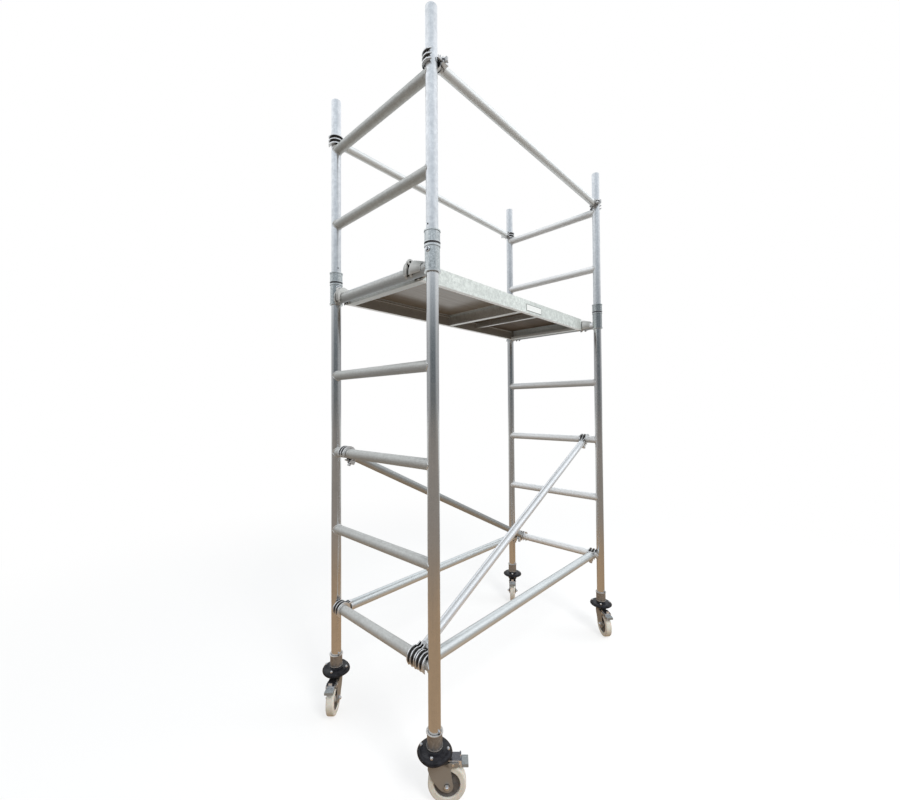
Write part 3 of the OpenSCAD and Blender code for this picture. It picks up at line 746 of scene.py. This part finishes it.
def pedal_pad(k):
    """Moulded pad clipped over the foot plate, with grip ribs."""
    mtx = castor_matrix(k)
    pin_x, pin_z = TRAIL + 0.024, 0.158
    x0, x1, y1 = pin_x + 0.0335, pin_x + 0.0605, 0.0218
    z0, z1 = pin_z - 0.0142, pin_z + 0.0004
    bm = bmesh.new()

    def slab(xa, xb, ya, yb, za, zb, c):
        """A block with edges chamfered by c."""
        rings = []
        for y, s in ((ya, c), (ya + c, 0), (yb - c, 0), (yb, c)):
            pts = [(xa + s, za + c + s), (xa + c + s, za + s), (xb - c - s, za + s),
                   (xb - s, za + c + s), (xb - s, zb - c - s), (xb - c - s, zb - s),
                   (xa + c + s, zb - s), (xa + s, zb - c - s)]
            rings.append([mtx @ Vector((p[0], y, p[1])) for p in pts])
        loft(bm, rings)

    slab(x0, x1, -y1, y1, z0, z1, 0.0015)
    for q in range(5):
        yq = -0.016 + q * 0.008
        slab(x0 + 0.003, x1 - 0.003, yq - 0.0015, yq + 0.0015, z1 - 0.002, z1 + 0.0012,
             0.0006)
    add_piece("pedal_pad_" + k, bm, "pedal_" + k, "pad", angle=35)


for k in KEYS:
    handwheel(k)
    stem(k)
    wheel_core(k)
    pedal_pad(k)

# Domed caps on the axle bolts.
for k in KEYS:
    bm = bmesh.new()
    base = castor_matrix(k) @ Matrix.Translation((TRAIL, 0, WHEEL_R))
    for s in (-1, 1):
        m2 = base @ Matrix.Rotation(-s * math.pi / 2, 4, "X") @ Matrix.Translation(
            (0, 0, 0.0255))
        dome_nut(bm, m2, 0.0112, 0.0072, 0.0078)
    add_piece("axle_caps_" + k, bm, "fork_" + k, "zinc", angle=35)

# ---------------------------------------------------------------- joints, hooks
def ear(bm, x, z, ya, yb, ra, rb, lift, r_in=0.0255, low=-28.0):
    """Cast C over a rung: rounded section, raised at the top, tapering from ya to yb."""
    rings = []
    steps = 40
    for i in range(steps + 1):
        th = math.radians(low + (180.0 - 2 * low) * i / steps)
        up = max(0.0, math.sin(th)) ** 1.6
        outer_a, outer_b = ra + lift * up, rb + lift * up
        sgn = 1.0 if yb > ya else -1.0
        c = 0.0028
        section = [(r_in, ya), (outer_a - c, ya), (outer_a - 0.3 * c, ya + 0.3 * c * sgn),
                   (outer_a, ya + c * sgn), (outer_b, yb - c * sgn),
                   (outer_b - 0.3 * c, yb - 0.3 * c * sgn), (outer_b - c, yb), (r_in, yb)]
        rings.append([Vector((x + r * math.cos(th), y, z + r * math.sin(th)))
                      for r, y in section])
    loft(bm, rings)


# The way that the ring round each joint's button faces, in degrees from +X.
RING_FACE = {(-1, -1): 188.0, (-1, 1): 260.0, (1, -1): 0.0, (1, 1): 280.0}
# Each platform hook's inner and outer face in Y, and the far end of its cowl if it has one.
HOOKS = ((-0.2265, -0.2455, -0.318), (0.285, 0.3035, None))
gap_shade_rings, button_rings, ears, eyes = bmesh.new(), bmesh.new(), bmesh.new(), bmesh.new()
for (sx, sy), face in RING_FACE.items():
    at = Matrix.Translation((sx * LX, sy * LY, JOINT_Z))
    # Painted shade: a black ring fills each joint's gap between socket and collar.
    lathe(gap_shade_rings, [(0.0257, -0.0014), (0.0322, -0.0014), (0.0327, 0.002), (0.0322, 0.0054),
                    (0.0257, 0.0054), (0.0257, -0.0014)], at)
    d = Vector((math.cos(math.radians(face)), math.sin(math.radians(face)), 0))
    spot = Vector((sx * LX, sy * LY, JOINT_Z - 0.025)) + d * 0.0306
    lathe(button_rings, [(0.0070, -0.004), (0.0118, -0.004), (0.0122, 0.0016), (0.0108, 0.0032),
                          (0.0086, 0.0036), (0.0072, 0.0022), (0.0070, -0.004)],
          frame_matrix(spot, d), 32)
for sx in (-1, 1):
    for y_in, y_out, y_cowl in HOOKS:
        ear(ears, sx * LX, RUNG5_Z, y_in, y_out, 0.0385, 0.0415, 0.0140)
        side = 1.0 if y_out > y_in else -1.0
        if y_cowl:
            ear(ears, sx * LX, RUNG5_Z, y_out + side * 0.024, y_cowl, 0.0430, 0.0290, 0.005)
        else:
            ear(ears, sx * LX, RUNG5_Z, y_out + side * 0.010, y_out + side * 0.0255, 0.0405,
                0.0375, 0.009)
        hole = frame_matrix((sx * (LX + 0.017), y_out - side * 0.004, RUNG5_Z + 0.0400),
                            (0.35 * sx, side, 0.0))
        lathe(eyes, [(0.0050, 0.0), (0.0125, 0.0), (0.0140, 0.0014), (0.0140, 0.014),
                     (0.0125, 0.0155), (0.0050, 0.0155), (0.0050, 0.0)], hole, 32)
add_piece("joint_gap_shade_rings", gap_shade_rings, "tower", "black", angle=35)
add_piece("button_rings", button_rings, "tower", "zinc", angle=35)
add_piece("hook_ears", ears, "tower", "hook", angle=40)
add_piece("hook_eyes", eyes, "tower", "hook", angle=35)

# ---------------------------------------------------------------- camera
# Fitted to the photograph.
CAM_POS = Vector((-1.9186, -1.5049, RUNG1_Z + 1.0286))
YAW, PITCH_A, ROLL = math.radians(46.783), math.radians(1.13), math.radians(-0.327)
FOCAL_PX, WIDTH_PX = 396.5, 900.0
fwd = Vector((math.sin(YAW) * math.cos(PITCH_A), math.cos(YAW) * math.cos(PITCH_A),
              math.sin(PITCH_A)))
right = Vector((math.cos(YAW), -math.sin(YAW), 0))
up = right.cross(fwd)
r2 = right * math.cos(ROLL) + up * math.sin(ROLL)
u2 = -right * math.sin(ROLL) + up * math.cos(ROLL)
cam_data = bpy.data.cameras.new("camera")
cam_data.sensor_fit = "HORIZONTAL"
cam_data.sensor_width = 36.0
cam_data.lens = 36.0 * FOCAL_PX / WIDTH_PX
cam_data.clip_start = 0.05
cam_data.clip_end = 200.0
cam = bpy.data.objects.new("camera", cam_data)
cam.matrix_world = Matrix.Translation(CAM_POS) @ Matrix((r2, u2, -fwd)).transposed().to_4x4()
scene.collection.objects.link(cam)
scene.camera = cam

# ---------------------------------------------------------------- floor, light
floor_bm = bmesh.new()
ring_r = (0.0, 1.0, 2.0, 4.0, 8.0, 20.0, 60.0)
lathe(floor_bm, [(r, 0.0) for r in ring_r], Matrix.Identity(4), 96)
floor_me = bpy.data.meshes.new("floor")
floor_bm.to_mesh(floor_me)
floor_bm.free()
floor = bpy.data.objects.new("floor", floor_me)
floor.location = (0, 0, -0.0005)
scene.collection.objects.link(floor)
f = Mat("floor_pale")
f.set(color=(0.90, 0.90, 0.895), rough=0.9, spec=0.1)
white = f.node("ShaderNodeEmission")
white.inputs["Color"].default_value = (1, 1, 1, 1)
mirrored = f.node("ShaderNodeEmission")
reach = f.node("ShaderNodeVectorMath", operation="LENGTH")
f.link(f.coords, reach.inputs[0])
# What the tower mirrors is warm close by, and lighter and nearly neutral behind the tower.
warm = f.ramp(f.map(reach.outputs["Value"], 0.0, 14.0, 0.0, 1.0),
              ((0.0, (0.42, 0.29, 0.18)), (0.10, (0.40, 0.28, 0.175)),
               (0.22, (0.33, 0.24, 0.16)), (0.42, (0.275, 0.21, 0.16)),
               (1.0, (0.20, 0.168, 0.158))))
back_az = math.radians(47.0)
back = f.dot(f.coords, (math.cos(back_az), math.sin(back_az), 0))
near_part = f.mix(f.map(back, 1.5, 6.0, 0.0, 1.0, True), warm, (0.62, 0.62, 0.61))
# Parts more than about 2.5 m from a spot of the floor mirror it as neutral, so its warm tint
# stays on the lower half of the tower.
far_part = f.mix(f.map(back, 0.9, 5.0, 0.0, 1.0, True), (0.268, 0.242, 0.216),
                 (0.74, 0.75, 0.74))
light_path = f.node("ShaderNodeLightPath").outputs
f.link(f.mix(f.map(light_path["Ray Length"], 1.3, 3.7, 0.0, 1.0, True), near_part, far_part),
       mirrored.inputs["Color"])
# The floor itself is pale, fading to plain white, with the tower's soft shadow near its feet.
pale = f.shader_mix(f.map(reach.outputs["Value"], 1.2, 5.0, 0.68, 1.0, True),
                    f.shader.outputs[0], white.outputs[0])
f.link(f.shader_mix(light_path["Is Camera Ray"], mirrored.outputs[0], pale),
       f.tree.nodes["Material Output"].inputs["Surface"])
floor_me.materials.append(f.mat)

world = bpy.data.worlds.new("studio")
scene.world = world
world.use_nodes = True
world.node_tree.nodes.clear()
w = Nodes(world.node_tree)
sky_way = w.node("ShaderNodeTexCoord").outputs["Generated"]
height = w.xyz(sky_way)["Z"]
bands = w.ramp(height, ((0.0, (0.34, 0.35, 0.36)), (0.16, (0.40, 0.41, 0.42)),
                        (0.34, (0.84, 0.87, 0.89)), (0.50, (1.01, 1.04, 1.08)),
                        (0.62, (1.20, 1.22, 1.25)), (0.76, (0.80, 0.83, 0.86)),
                        (0.90, (0.52, 0.56, 0.58)), (1.0, (0.50, 0.54, 0.56))))
# A darker side with a dark band low down gives the tubes their grey flank.
dark_az = math.radians(-133.0)
cone = w.map(w.dot(sky_way, (math.cos(dark_az), math.sin(dark_az), 0.0)), 0.30, 0.86,
             0.0, 1.0, True)
low_band = w.math("MULTIPLY", cone, w.map(height, 0.40, 0.16, 0.0, 1.0, True))
shaded = w.mix(cone, bands, (0.84, 0.87, 0.90), "MULTIPLY")
studio = w.node("ShaderNodeBackground")
w.link(w.mix(low_band, shaded, (0.095, 0.112, 0.124)), studio.inputs["Color"])
backdrop = w.node("ShaderNodeBackground")
backdrop.inputs["Color"].default_value = (1, 1, 1, 1)
w.link(w.shader_mix(w.node("ShaderNodeLightPath").outputs["Is Camera Ray"], studio.outputs[0],
                    backdrop.outputs[0]),
       w.node("ShaderNodeOutputWorld").inputs["Surface"])


def area(name, pos, target, size, power, color):
    """A soft light that is seen only by what it lights."""
    la = bpy.data.lights.new(name, "AREA")
    la.shape = "RECTANGLE"
    la.size, la.size_y = size
    la.energy = power
    la.color = color
    ob = bpy.data.objects.new(name, la)
    d = Vector(target) - Vector(pos)
    ob.matrix_world = frame_matrix(pos, -d)
    scene.collection.objects.link(ob)
    ob.visible_camera = False
    ob.visible_glossy = False


area("key", (-1.5, -5.0, 5.5), (0, 0, 1.4), (3.0, 2.0), 320.0, (1.0, 0.985, 0.96))
area("fill", (4.5, -4.5, 3.0), (0, 0, 1.6), (3.0, 3.0), 120.0, (0.94, 0.97, 1.0))

scene.view_settings.view_transform = "Standard"
scene.view_settings.look = "None"
scene.view_settings.exposure = 0.0
scene.view_settings.gamma = 1.0
